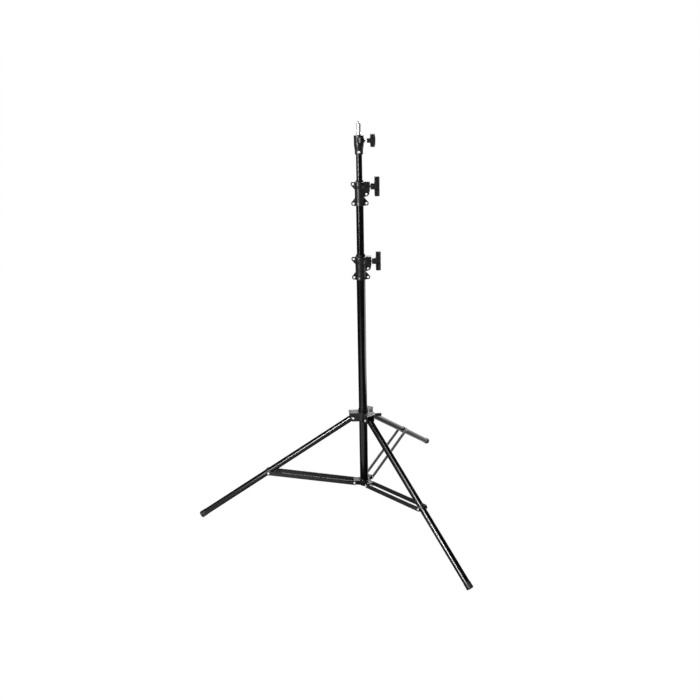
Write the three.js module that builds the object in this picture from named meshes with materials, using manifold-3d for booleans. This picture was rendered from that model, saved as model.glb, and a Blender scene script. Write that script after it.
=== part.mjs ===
// Three-section light stand: a telescopic column of round tubes on three folding legs.
// Millimetres, +Z up, floor at z = 0. The column carries everything; the leg hub slides on it,
// the legs hinge on the hub, and flat brace bars tie each leg to the fixed bottom hub.

import * as THREE from 'three';
import { mergeVertices } from 'three/addons/utils/BufferGeometryUtils.js';
import Module from 'manifold-3d';

const wasm = await Module();
wasm.setup();

// ---- driving dimensions -------------------------------------------------------------------

const GAP = 0.3; // clearance between neighbouring pieces
const WALL = 1.5; // wall of every tube

const BASE_R = 17.5; // column tubes, outer radii
const MID_R = 14.5;
const TOP_R = 11.5;
const LEG_R = 13;

const LEG_AZIMUTHS = [180, 60, 300]; // degrees about the column
const LEG_ANGLE = THREE.MathUtils.degToRad(56.65); // leg from the vertical, stand open
const LEG_REACH = 789.4; // leg pin to the outer end of the foot cap
const LEG_TOP = 6; // leg tube above its pin
const BRACE_DISTANCE = 434; // leg pin to brace pin, along the leg
const PIN_CIRCLE = 42; // leg pins and lower brace pins, from the column axis
const BRACE_PIN_Z = 141; // lower brace pins

const BASE_BOTTOM = 127;
const LOWER_COLLAR_Z = 1034; // underside of each collar and of the socket
const UPPER_COLLAR_Z = 1324;
const SOCKET_Z = 1516;
const COLLAR_HEIGHT = 92;
const GRIP_LENGTH = 60; // how far a collar reaches down over its tube
const MID_BOTTOM = 343;
const TOP_BOTTOM = 505;

const CAP_R = 14; // rubber cap on the end of each leg
const CAP_LENGTH = 24;
const CAP_END = 4; // rubber below the end of the tube
const CAP_EDGE = 0.7;
const FOOT_FLAT = 2; // depth of the flat worn where a foot meets the floor

const BAR_WIDTH = 19;
const BAR_THICKNESS = 3;
const BAR_INNER = 16.5; // inner face of each bar, from the plane of its leg

const PIN_R = 3;
const PIN_HEAD_R = 5;
const PIN_HEAD = 2;

const footHeight = CAP_R * Math.sin(LEG_ANGLE) - FOOT_FLAT;
const LEG_PIN_Z = LEG_REACH * Math.cos(LEG_ANGLE) + footHeight;
const braceRise = LEG_PIN_Z - BRACE_DISTANCE * Math.cos(LEG_ANGLE) - BRACE_PIN_Z;
const braceRun = BRACE_DISTANCE * Math.sin(LEG_ANGLE);
const BRACE_LENGTH = Math.hypot(braceRise, braceRun);
const BRACE_ANGLE = Math.atan2(braceRun, braceRise); // brace from the vertical, stand open
const BAR_OUTER = BAR_INNER + BAR_THICKNESS;

const ROUND = 28; // facets round a column tube, a leg, a knob and a pin or hole
const LEG_FACETS = 24;
const FINE = 18;
const SMALL = 10;

// ---- finishes -----------------------------------------------------------------------------

const FINISHES = {
  tube: { color: 0x0b0b0c, roughness: 0.22, metalness: 0.35 },
  casting: { color: 0x17181a, roughness: 0.5, metalness: 0.1 },
  nylon: { color: 0x070707, roughness: 0.6, metalness: 0 },
  rubber: { color: 0x0d0d0d, roughness: 0.85, metalness: 0 },
  bar: { color: 0x121213, roughness: 0.38, metalness: 0.3 },
  steel: { color: 0xc9ccd0, roughness: 0.25, metalness: 1 },
  chrome: { color: 0xe2e4e8, roughness: 0.08, metalness: 1 },
  brass: { color: 0xb99a55, roughness: 0.35, metalness: 1 },
};

// ---- solid helpers ------------------------------------------------------------------------

function toSolid(geometry) {
  const bare = geometry.clone();
  bare.deleteAttribute('normal');
  bare.deleteAttribute('uv');
  const merged = mergeVertices(bare, 1e-4);
  const index = merged.index.array;
  const triangles = [];
  for (let i = 0; i < index.length; i += 3) {
    const [a, b, c] = [index[i], index[i + 1], index[i + 2]];
    if (a !== b && b !== c && c !== a) triangles.push(a, b, c);
  }
  return new wasm.Manifold(new wasm.Mesh({
    numProp: 3,
    vertProperties: new Float32Array(merged.attributes.position.array),
    triVerts: new Uint32Array(triangles),
  }));
}

function toGeometry(solid) {
  const mesh = solid.getMesh();
  const geometry = new THREE.BufferGeometry();
  geometry.setAttribute('position', new THREE.BufferAttribute(mesh.vertProperties, 3));
  geometry.setIndex(new THREE.BufferAttribute(mesh.triVerts, 1));
  geometry.computeVertexNormals();
  return geometry;
}

function join(...geometries) {
  return toGeometry(geometries.map(toSolid).reduce((sum, next) => sum.add(next)));
}

function cut(geometry, ...tools) {
  return toGeometry(tools.map(toSolid).reduce((rest, tool) => rest.subtract(tool), toSolid(geometry)));
}

// A closed ring or a solid turned about Z; its profile is a list of [radius, z], run anticlockwise.
function turned(profile, segments = ROUND) {
  const points = profile.map(([r, z]) => new THREE.Vector2(r, z));
  if (profile[0][0] > 0) points.push(points[0].clone());
  return new THREE.LatheGeometry(points, segments).rotateX(Math.PI / 2);
}

function ring(inner, outer, low, high, segments = ROUND) {
  return turned([[inner, low], [outer, low], [outer, high], [inner, high]], segments);
}

function rod(radius, low, high, segments = FINE) {
  return turned([[0, low], [radius, low], [radius, high], [0, high]], segments);
}

// The same rod laid along +X or +Y.
function rodX(radius, from, to, z, segments = FINE) {
  return rod(radius, from, to, segments).rotateY(Math.PI / 2).translate(0, 0, z);
}

function rodY(radius, from, to, x, z, segments = FINE) {
  return rod(radius, -to, -from, segments).rotateX(Math.PI / 2).translate(x, 0, z);
}

// A plate whose outline lies in the XZ plane, between two values of y.
function plate(shape, from, to) {
  const slab = new THREE.ExtrudeGeometry(shape, { depth: to - from, bevelEnabled: false, curveSegments: 4 });
  return slab.translate(0, 0, -to).rotateX(Math.PI / 2);
}

function rectangle(x0, z0, x1, z1) {
  const corners = [[x0, z0], [x1, z0], [x1, z1], [x0, z1]];
  return new THREE.Shape(corners.map(([x, z]) => new THREE.Vector2(x, z)));
}

function roundedRectangle(x0, z0, x1, z1, r) {
  const shape = new THREE.Shape();
  shape.moveTo(x0 + r, z0);
  shape.lineTo(x1 - r, z0);
  shape.absarc(x1 - r, z0 + r, r, -Math.PI / 2, 0, false);
  shape.absarc(x1 - r, z1 - r, r, 0, Math.PI / 2, false);
  shape.absarc(x0 + r, z1 - r, r, Math.PI / 2, Math.PI, false);
  shape.absarc(x0 + r, z0 + r, r, Math.PI, 1.5 * Math.PI, false);
  return shape;
}

function addPart(parent, name, finish, geometry) {
  const mesh = new THREE.Mesh(geometry, new THREE.MeshStandardMaterial(FINISHES[finish]));
  mesh.name = name;
  parent.add(mesh);
  return mesh;
}

// ---- column tubes -------------------------------------------------------------------------

function buildTubes(column) {
  const baseTop = LOWER_COLLAR_Z + GRIP_LENGTH;
  const midTop = UPPER_COLLAR_Z + GRIP_LENGTH;
  const topTop = SOCKET_Z + SOCKET_TUBE_DEPTH - GAP;
  addPart(column, 'base_tube', 'tube', ring(BASE_R - WALL, BASE_R, BASE_BOTTOM, baseTop));
  addPart(column, 'mid_tube', 'tube', ring(MID_R - WALL, MID_R, MID_BOTTOM, midTop));
  const rivetHole = rodY(PIN_R + GAP, -TOP_R - 5, TOP_R + 5, 0, SOCKET_Z + RIVET_HEIGHT, SMALL);
  addPart(column, 'top_tube', 'tube', cut(ring(TOP_R - WALL, TOP_R, TOP_BOTTOM, topTop), rivetHole));
}

// Nylon sleeves on the lower ends of the sliding tubes keep them central in the tube outside.
function buildFootBushes(column) {
  const length = 34;
  const sleeve = (tube, outside, bottom) => ring(tube + GAP, outside - WALL - GAP, bottom, bottom + length);
  addPart(column, 'mid_foot_bush', 'nylon', sleeve(MID_R, BASE_R, MID_BOTTOM + 2));
  addPart(column, 'top_foot_bush', 'nylon', sleeve(TOP_R, MID_R, TOP_BOTTOM + 2));
}

function buildBottomPlug(column) {
  const spigot = BASE_R - WALL - GAP;
  const top = BASE_BOTTOM + 16;
  const flange = [BASE_BOTTOM - 3.5, BASE_BOTTOM - GAP];
  const profile = [
    [0, flange[0]], [BASE_R - 1.2, flange[0]], [BASE_R, flange[0] + 1.2], [BASE_R, flange[1]],
    [spigot, flange[1]], [spigot, top - 2], [spigot - 2, top], [0, top],
  ];
  addPart(column, 'bottom_plug', 'nylon', turned(profile));
}

// ---- collars with their clamps ------------------------------------------------------------

const LUG_R = 8.5;
const LUG_OUT = 5.5; // eyelets out from the collar's side
const LUG_HOLE_R = 4.3;
const LUG_THICKNESS = 8;
const CLAMP_BLOCK = 20; // how far the clamp block stands out from the collar
const BLOCK_LOW = 53; // underside of the clamp block, and of the flange below it
const FLANGE_LOW = 34;
const FLANGE_HOLE = [7, 43]; // out from the collar's side, and up
const CLAMP_BELOW_TOP = 20; // clamp screw below the collar's top face
const SCREW_R = 4;
const PAD_R = 6;
const KNOB_GAP = 3; // bare screw between block and knob

// Each collar: the tube it holds, the tube that slides in it, its own radius and its bush's rim.
const LOWER_COLLAR = { tubeR: BASE_R, slidingR: MID_R, radius: 21, rimHeight: 9, rimWidth: 4.6 };
const UPPER_COLLAR = { tubeR: MID_R, slidingR: TOP_R, radius: 18.5, rimHeight: 4, rimWidth: 4.2 };

function lug(x, z, side, body, lift) {
  const shape = new THREE.Shape();
  const edge = z + lift * LUG_R;
  const start = lift * Math.PI / 2;
  const end = side > 0 ? lift * -0.2 * Math.PI : Math.PI + lift * 0.2 * Math.PI;
  shape.moveTo(body * side, edge);
  shape.lineTo(x, edge);
  shape.absarc(x, z, LUG_R, start, end, side > 0 === lift > 0);
  shape.lineTo(body * side, z - lift * 3.2 * LUG_R);
  return plate(shape, -LUG_THICKNESS / 2, LUG_THICKNESS / 2);
}

function clampBlock(radius) {
  const outer = radius + CLAMP_BLOCK;
  const inner = radius - 5;
  const flange = new THREE.Shape();
  flange.moveTo(inner, FLANGE_LOW);
  flange.lineTo(radius + 7, FLANGE_LOW);
  flange.quadraticCurveTo(outer - 1, FLANGE_LOW + 4, outer, BLOCK_LOW + 6);
  flange.lineTo(outer, COLLAR_HEIGHT - 3);
  flange.quadraticCurveTo(outer, COLLAR_HEIGHT, outer - 3, COLLAR_HEIGHT);
  flange.lineTo(inner, COLLAR_HEIGHT);
  const block = roundedRectangle(inner, BLOCK_LOW, outer, COLLAR_HEIGHT, 3);
  return [plate(flange, -5, 5), plate(block, -12, 12)];
}

// A collar fixed over the top of one tube, seen from its own underside at z = 0.
function collar(tubeR, radius) {
  const lugX = radius + LUG_OUT;
  const upperLugZ = COLLAR_HEIGHT - LUG_R - 1;
  const screwZ = COLLAR_HEIGHT - CLAMP_BELOW_TOP;
  const flangeHole = [radius + FLANGE_HOLE[0], FLANGE_HOLE[1]];
  const holes = [[-lugX, LUG_R], [lugX + 1.5, LUG_R], [-lugX - 1, upperLugZ], flangeHole];
  const shell = turned([
    [tubeR - 3, 0], [radius + 1, 0], [radius + 1.6, 4], [radius, 14], [radius, 66],
    [radius + 2, 78], [radius + 2, COLLAR_HEIGHT - 1.5], [radius + 0.5, COLLAR_HEIGHT],
    [tubeR - 3, COLLAR_HEIGHT],
  ]);
  const whole = join(
    shell,
    lug(-lugX, LUG_R, -1, radius - 5, -1),
    lug(lugX + 1.5, LUG_R, 1, radius - 5, -1),
    lug(-lugX - 1, upperLugZ, -1, radius - 5, 1),
    ...clampBlock(radius),
  );
  return cut(
    whole,
    rod(tubeR + GAP, -1, COLLAR_HEIGHT + 1, ROUND),
    rodX(SCREW_R + GAP, 0, radius + CLAMP_BLOCK + 1, screwZ, SMALL),
    rodX(PAD_R + GAP, 0, tubeR + 6.5, screwZ, SMALL),
    ...holes.map(([x, z]) => rodY(LUG_HOLE_R, -LUG_THICKNESS, LUG_THICKNESS, x, z, SMALL)),
  );
}

// The nylon bush that fills the collar above its tube, with a tapered rim round the sliding tube.
function collarBush({ tubeR, slidingR, rimHeight, rimWidth }) {
  const low = GRIP_LENGTH + GAP;
  const rim = COLLAR_HEIGHT + GAP;
  const bore = slidingR + GAP;
  const foot = slidingR + rimWidth;
  const bush = turned([
    [bore, low], [tubeR, low], [tubeR, rim], [foot, rim], [foot - 0.4, rim + rimHeight * 0.25],
    [slidingR + 1.9, rim + rimHeight], [bore, rim + rimHeight],
  ]);
  return cut(bush, rodX(PAD_R + GAP, 0, tubeR + 3, COLLAR_HEIGHT - CLAMP_BELOW_TOP, SMALL));
}

// A T-shaped knob on its screw: stem along +X, wings along Z.
function tKnob({ start, stem, stemR, depth, span, thickness }) {
  const wingX = start + stem;
  const wing = roundedRectangle(wingX, -span / 2, wingX + depth, span / 2, 4);
  const recess = roundedRectangle(wingX + 5, stemR + 3, wingX + depth - 4, span / 2 - 4, 2);
  const mirrored = roundedRectangle(wingX + 5, 4 - span / 2, wingX + depth - 4, -stemR - 3, 2);
  const skin = thickness / 2;
  const body = join(
    rod(stemR, start, wingX + depth * 0.8, FINE).rotateY(Math.PI / 2),
    plate(wing, -skin, skin),
  );
  const pockets = [recess, mirrored].flatMap((shape) => [
    plate(shape, skin - 2, skin + 5),
    plate(shape, -skin - 5, 2 - skin),
  ]);
  return cut(body, ...pockets);
}

function knobOnScrew(knob, screwR) {
  return cut(tKnob(knob), rodX(screwR + GAP, knob.start - 5, knob.start + knob.stem, 0, SMALL));
}

function clampScrew(from, knob, screwR) {
  return turned([
    [0, from], [screwR - 1, from], [screwR, from + 1],
    [screwR, knob.start + knob.stem - GAP], [0, knob.start + knob.stem - GAP],
  ], SMALL).rotateY(Math.PI / 2);
}

function buildCollar(column, which, base, sizes) {
  const { tubeR, slidingR, radius } = sizes;
  const group = new THREE.Group();
  group.position.z = base;
  column.add(group);
  addPart(group, `${which}_collar`, 'casting', collar(tubeR, radius));
  addPart(group, `${which}_collar_bush`, 'nylon', collarBush(sizes));

  const screwGroup = new THREE.Group();
  screwGroup.position.z = COLLAR_HEIGHT - CLAMP_BELOW_TOP;
  group.add(screwGroup);
  const padFrom = slidingR + GAP;
  const padTo = tubeR + 4;
  const start = radius + CLAMP_BLOCK + KNOB_GAP;
  const knob = { start, stem: 15, stemR: 12, depth: 19, span: 75, thickness: 15 };
  addPart(screwGroup, `${which}_clamp_pad`, 'brass', rodX(PAD_R, padFrom, padTo, 0, SMALL));
  addPart(screwGroup, `${which}_clamp_screw`, 'steel', clampScrew(padTo + GAP, knob, SCREW_R));
  addPart(screwGroup, `${which}_clamp_knob`, 'casting', knobOnScrew(knob, SCREW_R));
}

// ---- top socket and stud ------------------------------------------------------------------

const SOCKET_HEIGHT = 72;
const SOCKET_R = 18.5;
const SOCKET_NECK_R = 15.5;
const SOCKET_TUBE_DEPTH = 32;
const SOCKET_SCREW_Z = 50;
const SOCKET_SCREW_R = 3;
const SOCKET_BOSS_R = 8.5;
const RIVET_HEIGHT = 10;
const STUD_R = 8;
const STUD_TIP_R = 4.75;
const STUD_TOP = 125; // above the socket's underside

function buildSocket(column) {
  const group = new THREE.Group();
  group.position.z = SOCKET_Z;
  column.add(group);

  const body = turned([
    [0, 0], [SOCKET_NECK_R - 0.8, 0], [SOCKET_NECK_R, 0.8], [SOCKET_NECK_R, 15], [SOCKET_R, 34],
    [SOCKET_R, SOCKET_HEIGHT - 1.5], [SOCKET_R - 1.5, SOCKET_HEIGHT], [0, SOCKET_HEIGHT],
  ]);
  const boss = rodX(SOCKET_BOSS_R, STUD_R, SOCKET_R + 3, SOCKET_SCREW_Z, FINE);
  const window = roundedRectangle(-6.5, 41, 6.5, 65, 6.4);
  addPart(group, 'top_socket', 'casting', cut(
    join(body, boss),
    rod(TOP_R + GAP, -1, SOCKET_TUBE_DEPTH, ROUND),
    rod(STUD_R + GAP, SOCKET_TUBE_DEPTH - 1, SOCKET_HEIGHT + 1, ROUND),
    rodX(SOCKET_SCREW_R + GAP, 0, SOCKET_R + 10, SOCKET_SCREW_Z, SMALL),
    plate(window, -SOCKET_R - 5, 0),
    rodY(PIN_R + GAP, -SOCKET_R, SOCKET_R, 0, RIVET_HEIGHT, SMALL),
  ));

  const headY = SOCKET_NECK_R + GAP;
  const rivet = turned([
    [0, -headY - 1.6], [3.2, -headY - 1.6], [4.2, -headY - 0.6], [4.2, -headY], [PIN_R, -headY],
    [PIN_R, SOCKET_NECK_R], [0, SOCKET_NECK_R],
  ], SMALL).rotateX(-Math.PI / 2).translate(0, 0, RIVET_HEIGHT);
  addPart(group, 'socket_rivet', 'steel', rivet);

  const foot = SOCKET_TUBE_DEPTH + GAP * 2;
  const groove = SOCKET_HEIGHT + 4;
  addPart(group, 'stud', 'chrome', turned([
    [0, foot], [STUD_R - 1, foot], [STUD_R, foot + 1], [STUD_R, groove], [STUD_R - 1.6, groove + 1.6],
    [STUD_R - 1.6, groove + 5], [STUD_R, groove + 6.6], [STUD_R, STUD_TOP - 11.2],
    [STUD_R - 1.2, STUD_TOP - 10], [STUD_TIP_R, STUD_TOP - 10], [STUD_TIP_R, STUD_TOP - 1],
    [STUD_TIP_R - 1, STUD_TOP], [0, STUD_TOP],
  ]));

  const screwGroup = new THREE.Group();
  screwGroup.position.z = SOCKET_SCREW_Z;
  group.add(screwGroup);
  const knob = { start: 30, stem: 12.5, stemR: 9, depth: 19, span: 48, thickness: 13 };
  addPart(screwGroup, 'socket_screw', 'steel', clampScrew(STUD_R + GAP, knob, SOCKET_SCREW_R));
  addPart(screwGroup, 'socket_knob', 'casting', knobOnScrew(knob, SOCKET_SCREW_R));
}

// ---- hubs ---------------------------------------------------------------------------------

const HUB_LOW = LEG_PIN_Z - 15;
const HUB_TOP = LEG_PIN_Z + 23.5;
const HUB_BORE_R = 20.1;
const HUB_R = 25;
const EAR_INNER = LEG_R + 0.6;
const EAR_OUTER = 18;
const EAR_R = 15; // round lower corner of each ear, about the pin
const ARM_END = PIN_CIRCLE + 17;
const ARM_ROOF = LEG_PIN_Z + 18; // underside of the roof over each leg's top
const HUB_SCREW_Z = LEG_PIN_Z + 5;
const LOCK_SCREW_END = 60;

function turnAbout(geometry, degrees) {
  return geometry.clone().rotateZ(THREE.MathUtils.degToRad(degrees));
}

// Repeats a piece of one arm round the column.
function roundColumn(...geometries) {
  return LEG_AZIMUTHS.flatMap((azimuth) => geometries.map((geometry) => turnAbout(geometry, azimuth)));
}

function buildLegHub(column) {
  const root = 19;
  const ear = new THREE.Shape();
  ear.moveTo(root, HUB_LOW);
  ear.lineTo(PIN_CIRCLE, HUB_LOW);
  ear.absarc(PIN_CIRCLE, LEG_PIN_Z, EAR_R, -Math.PI / 2, 0, false);
  ear.lineTo(ARM_END, HUB_TOP - 8);
  ear.lineTo(ARM_END, HUB_TOP - 4);
  ear.quadraticCurveTo(ARM_END, HUB_TOP, ARM_END - 5, HUB_TOP);
  ear.lineTo(root, HUB_TOP);
  const roof = new THREE.Shape();
  roof.moveTo(root, ARM_ROOF);
  roof.lineTo(ARM_END, ARM_ROOF);
  roof.lineTo(ARM_END, HUB_TOP - 4);
  roof.quadraticCurveTo(ARM_END, HUB_TOP, ARM_END - 5, HUB_TOP);
  roof.lineTo(root, HUB_TOP);
  const arms = roundColumn(
    plate(ear, EAR_INNER, EAR_OUTER),
    plate(ear, -EAR_OUTER, -EAR_INNER),
    plate(roof, -EAR_INNER - 1, EAR_INNER + 1),
  );
  const pinHoles = roundColumn(rodY(PIN_R + GAP, -25, 25, PIN_CIRCLE, LEG_PIN_Z, SMALL));
  const boss = rodX(8.5, 20, 34, HUB_SCREW_Z, FINE);
  addPart(column, 'leg_hub', 'casting', cut(
    join(ring(15, HUB_R, HUB_LOW, HUB_TOP), boss, ...arms),
    rod(HUB_BORE_R, HUB_LOW - 1, HUB_TOP + 1, ROUND),
    rodX(PIN_R + GAP, 0, 40, HUB_SCREW_Z, SMALL),
    ...pinHoles,
  ));

  const bore = BASE_R + GAP;
  const sleeve = HUB_BORE_R - GAP;
  const bush = turned([
    [bore, HUB_LOW], [sleeve, HUB_LOW], [sleeve, HUB_TOP + GAP], [sleeve + 1, HUB_TOP + GAP],
    [sleeve + 0.6, HUB_TOP + 4], [BASE_R + 1.4, HUB_TOP + 14], [bore, HUB_TOP + 14],
  ]);
  addPart(column, 'hub_bush', 'nylon', cut(bush, rodX(PIN_R + GAP, 0, 24, HUB_SCREW_Z, SMALL)));
}

function buildHubLock(column) {
  const group = new THREE.Group();
  group.position.z = HUB_SCREW_Z;
  column.add(group);
  const start = 48.5;
  const end = 76;
  const radius = 6.5;
  const screw = rod(PIN_R, BASE_R + GAP, LOCK_SCREW_END, SMALL);
  addPart(group, 'hub_lock_screw', 'steel', screw.rotateY(Math.PI / 2));
  const grip = turned([
    [0, start], [radius - 2, start], [radius - 1, start + 1.5], [radius - 1, start + 5],
    [radius, start + 6.5], [radius, end - 1.5], [radius - 1.5, end], [0, end],
  ]);
  const flutes = [0, 60, 120, 180, 240, 300].map((angle) => {
    const flute = rod(1.6, start + 5.5, end + 1, SMALL).translate(radius + 0.8, 0, 0);
    return turnAbout(flute, angle);
  });
  const socket = rod(PIN_R + GAP, start - 1, LOCK_SCREW_END + GAP, SMALL);
  addPart(group, 'hub_lock_knob', 'casting', cut(grip, socket, ...flutes).rotateY(Math.PI / 2));
}

function buildBottomHub(column) {
  const low = BASE_BOTTOM + 1;
  const tongueR = 9.5;
  const half = BAR_INNER - GAP;
  const tongue = new THREE.Shape();
  tongue.moveTo(19, low);
  tongue.lineTo(34, BRACE_PIN_Z - tongueR);
  tongue.lineTo(PIN_CIRCLE, BRACE_PIN_Z - tongueR);
  tongue.absarc(PIN_CIRCLE, BRACE_PIN_Z, tongueR, -Math.PI / 2, Math.PI / 2, false);
  tongue.lineTo(19, BRACE_PIN_Z + tongueR);
  const pocket = rectangle(30, low - 5, PIN_CIRCLE + 20, BRACE_PIN_Z + 5);
  addPart(column, 'bottom_hub', 'casting', cut(
    join(
      ring(15, 24, low, BRACE_PIN_Z + tongueR + 1.5),
      ...roundColumn(plate(tongue, -half, half)),
    ),
    rod(BASE_R + GAP, low - 1, 200, ROUND),
    ...roundColumn(plate(pocket, 6 - half, half - 6)),
    ...roundColumn(rodY(PIN_R + GAP, -25, 25, PIN_CIRCLE, BRACE_PIN_Z, SMALL)),
  ));
}

// ---- legs and braces ----------------------------------------------------------------------

// A pin along Y with a domed head at each end.
function doubleHeadedPin(inner) {
  const face = inner + GAP;
  const end = face + PIN_HEAD;
  const profile = [
    [0, -end], [3, -end], [PIN_HEAD_R, -end + 1], [PIN_HEAD_R, -face], [PIN_R, -face],
    [PIN_R, face], [PIN_HEAD_R, face], [PIN_HEAD_R, end - 1], [3, end], [0, end],
  ];
  return turned(profile, SMALL).rotateX(-Math.PI / 2);
}

// A rivet in one bar: its shank ends flush inside the bar and its head stands outside.
function barRivet(side) {
  const profile = [
    [0, BAR_INNER + 0.1], [PIN_R, BAR_INNER + 0.1], [PIN_R, BAR_OUTER + GAP],
    [PIN_HEAD_R, BAR_OUTER + GAP], [PIN_HEAD_R, BAR_OUTER + GAP + 1], [3, BAR_OUTER + GAP + PIN_HEAD],
    [0, BAR_OUTER + GAP + PIN_HEAD],
  ];
  return turned(profile, SMALL).rotateX(side > 0 ? -Math.PI / 2 : Math.PI / 2);
}

function buildLeg(arm, number) {
  const leg = new THREE.Group();
  leg.position.set(PIN_CIRCLE, 0, LEG_PIN_Z);
  leg.rotation.y = -LEG_ANGLE;
  arm.add(leg);
  const pinHole = rodY(PIN_R + GAP, -20, 20, 0, 0, SMALL);
  const tubeEnd = CAP_END + GAP - LEG_REACH;
  const tube = cut(ring(LEG_R - WALL, LEG_R, tubeEnd, LEG_TOP, LEG_FACETS), pinHole);
  addPart(leg, `leg_tube_${number}`, 'tube', tube);
  const insert = rod(LEG_R - WALL - GAP, -34, LEG_TOP - 0.5, FINE);
  addPart(leg, `leg_insert_${number}`, 'nylon', cut(insert, pinHole));
  addPart(leg, `leg_clip_${number}`, 'casting', legClip());
  addPart(leg, `foot_cap_${number}`, 'rubber', footCap());
}

const CLIP_WALL = 1.8;
const CLIP_HALF = 11.5;
const CLIP_BOSS_R = 7.5;

function legClip() {
  const centre = -BRACE_DISTANCE;
  const half = BAR_INNER - GAP;
  return cut(
    join(
      ring(LEG_R - 3, LEG_R + CLIP_WALL, centre - CLIP_HALF, centre + CLIP_HALF, LEG_FACETS),
      rodY(CLIP_BOSS_R, -half, half, 0, centre, FINE),
    ),
    rod(LEG_R + GAP, centre - 20, centre + 20, LEG_FACETS),
  );
}

// A rubber cap over the end of the tube, cut flat where it meets the floor.
function footCap() {
  const end = -LEG_REACH;
  const bore = LEG_R + GAP;
  const cap = turned([
    [0, end], [CAP_R - CAP_EDGE, end], [CAP_R, end + CAP_EDGE], [CAP_R, end + CAP_LENGTH],
    [bore, end + CAP_LENGTH], [bore, end + CAP_END], [0, end + CAP_END],
  ], LEG_FACETS);
  const ground = new THREE.BoxGeometry(2000, 200, 100).translate(-PIN_CIRCLE, 0, -50 - LEG_PIN_Z);
  return cut(cap, ground.rotateY(LEG_ANGLE));
}

function buildBrace(arm, number) {
  const brace = new THREE.Group();
  brace.position.set(PIN_CIRCLE, 0, BRACE_PIN_Z);
  brace.rotation.y = BRACE_ANGLE;
  arm.add(brace);
  const r = BAR_WIDTH / 2;
  const outline = new THREE.Shape();
  outline.absarc(0, 0, r, Math.PI, 2 * Math.PI, false);
  outline.absarc(0, BRACE_LENGTH, r, 0, Math.PI, false);
  const holes = [0, BRACE_LENGTH].map((z) => rodY(PIN_R + GAP, -30, 30, 0, z, SMALL));
  const sides = { a: 1, b: -1 };
  for (const [letter, side] of Object.entries(sides)) {
    const [low, high] = [side * BAR_INNER, side * BAR_OUTER].sort((p, q) => p - q);
    addPart(brace, `brace_bar_${number}${letter}`, 'bar', cut(plate(outline, low, high), ...holes));
    const rivet = barRivet(side).translate(0, 0, BRACE_LENGTH);
    addPart(brace, `brace_rivet_${number}${letter}`, 'steel', rivet);
  }
}

function buildArm(column, azimuth, number) {
  const arm = new THREE.Group();
  arm.rotation.z = THREE.MathUtils.degToRad(azimuth);
  column.add(arm);
  buildLeg(arm, number);
  buildBrace(arm, number);
  const legPin = doubleHeadedPin(EAR_OUTER).translate(PIN_CIRCLE, 0, LEG_PIN_Z);
  addPart(arm, `leg_pin_${number}`, 'steel', legPin);
  const bracePin = doubleHeadedPin(BAR_OUTER).translate(PIN_CIRCLE, 0, BRACE_PIN_Z);
  addPart(arm, `brace_pin_${number}`, 'steel', bracePin);
}

// ---- the whole stand ----------------------------------------------------------------------

function buildStand() {
  const stand = new THREE.Group();
  const column = new THREE.Group();
  stand.add(column);
  buildTubes(column);
  buildFootBushes(column);
  buildBottomPlug(column);
  buildCollar(column, 'lower', LOWER_COLLAR_Z, LOWER_COLLAR);
  buildCollar(column, 'upper', UPPER_COLLAR_Z, UPPER_COLLAR);
  buildSocket(column);
  buildLegHub(column);
  buildHubLock(column);
  buildBottomHub(column);
  LEG_AZIMUTHS.forEach((azimuth, i) => buildArm(column, azimuth, i + 1));

  // The origin is on the floor, under the middle of the stand's footprint.
  const box = new THREE.Box3().setFromObject(stand, true);
  column.position.x = -(box.min.x + box.max.x) / 2;
  return stand;
}

export default buildStand();
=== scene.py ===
"""A three-section light stand in a plain studio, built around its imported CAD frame.

Metres in the row frame, +Z up. Solids are drawn in millimetres in the frame of the piece that
they belong to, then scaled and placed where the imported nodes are.
"""

import math

import bmesh
import bpy
from mathutils import Matrix, Vector


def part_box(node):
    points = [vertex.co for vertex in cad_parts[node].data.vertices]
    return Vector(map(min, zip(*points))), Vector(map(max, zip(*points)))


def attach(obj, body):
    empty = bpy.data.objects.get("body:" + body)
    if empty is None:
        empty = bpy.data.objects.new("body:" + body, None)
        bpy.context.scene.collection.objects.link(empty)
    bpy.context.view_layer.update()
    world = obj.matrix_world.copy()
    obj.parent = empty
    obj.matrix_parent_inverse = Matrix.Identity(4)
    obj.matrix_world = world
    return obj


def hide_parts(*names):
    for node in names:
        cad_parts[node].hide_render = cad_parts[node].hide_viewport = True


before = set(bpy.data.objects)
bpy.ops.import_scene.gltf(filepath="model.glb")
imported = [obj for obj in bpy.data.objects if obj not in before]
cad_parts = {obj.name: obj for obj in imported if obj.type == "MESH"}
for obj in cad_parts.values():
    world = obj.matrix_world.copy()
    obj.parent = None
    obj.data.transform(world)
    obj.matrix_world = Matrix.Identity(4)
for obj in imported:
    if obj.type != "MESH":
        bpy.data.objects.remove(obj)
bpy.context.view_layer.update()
scene = bpy.context.scene

MM = 0.001
SEGMENTS = 96  # round the tubes and castings
GAP = 0.3  # between neighbouring pieces


# ---- where the frame puts things ----------------------------------------------------------


def middle(node):
    low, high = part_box(node)
    return (low + high) / 2


def height_of(node):
    """The underside of a CAD node, in millimetres."""
    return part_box(node)[0].z / MM


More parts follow.
